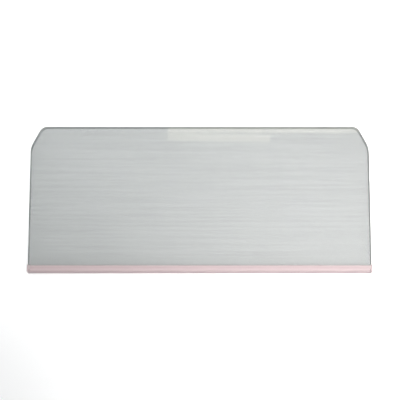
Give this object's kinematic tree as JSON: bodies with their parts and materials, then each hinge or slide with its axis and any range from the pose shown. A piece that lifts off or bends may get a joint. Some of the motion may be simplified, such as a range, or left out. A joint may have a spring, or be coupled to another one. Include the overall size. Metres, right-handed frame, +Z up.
{
  "type": "negative carrier",
  "caption": "Wide hinged glass negative carrier: two sheets with cut rear corners in a pink plastic spine with end caps.",
  "frame": {"origin": "centre of the bottom of the closed carrier's box, on the surface it lies on", "axes": "+X along the spine, +Y from the spine to the free rear edge, +Z up through the leaves"},
  "size_m": [0.2412, 0.1054, 0.0072],
  "materials": {
    "etched_glass": "polished above, finely etched below, ground edges",
    "clear_glass": "polished, ground edges",
    "pink_rail": "satin extruded PVC",
    "pink_end_cap": "satin moulded",
    "pink_vinyl": "soft matte vinyl",
    "bonding_tape": "translucent white"
  },
  "bodies": {
    "lower_leaf": {"lower_glass": "clear_glass", "lower_rail": "pink_rail", "lower_right_end_cap": "pink_end_cap", "lower_left_end_cap": "pink_end_cap", "lower_bonding_tape": "bonding_tape", "hinge_strip_lower_half": "pink_vinyl"},
    "upper_leaf": {"upper_glass": "etched_glass", "upper_rail": "pink_rail", "upper_right_end_cap": "pink_end_cap", "upper_left_end_cap": "pink_end_cap", "upper_bonding_tape": "bonding_tape", "hinge_strip_upper_half": "pink_vinyl"}
  },
  "joints": [
    {"name": "leaf_hinge", "type": "hinge", "parent": "lower_leaf", "child": "upper_leaf", "pos_m": [0, -0.05233, 0.0036], "axis": [1, 0, 0], "range_deg": [0, 180]}
  ]
}
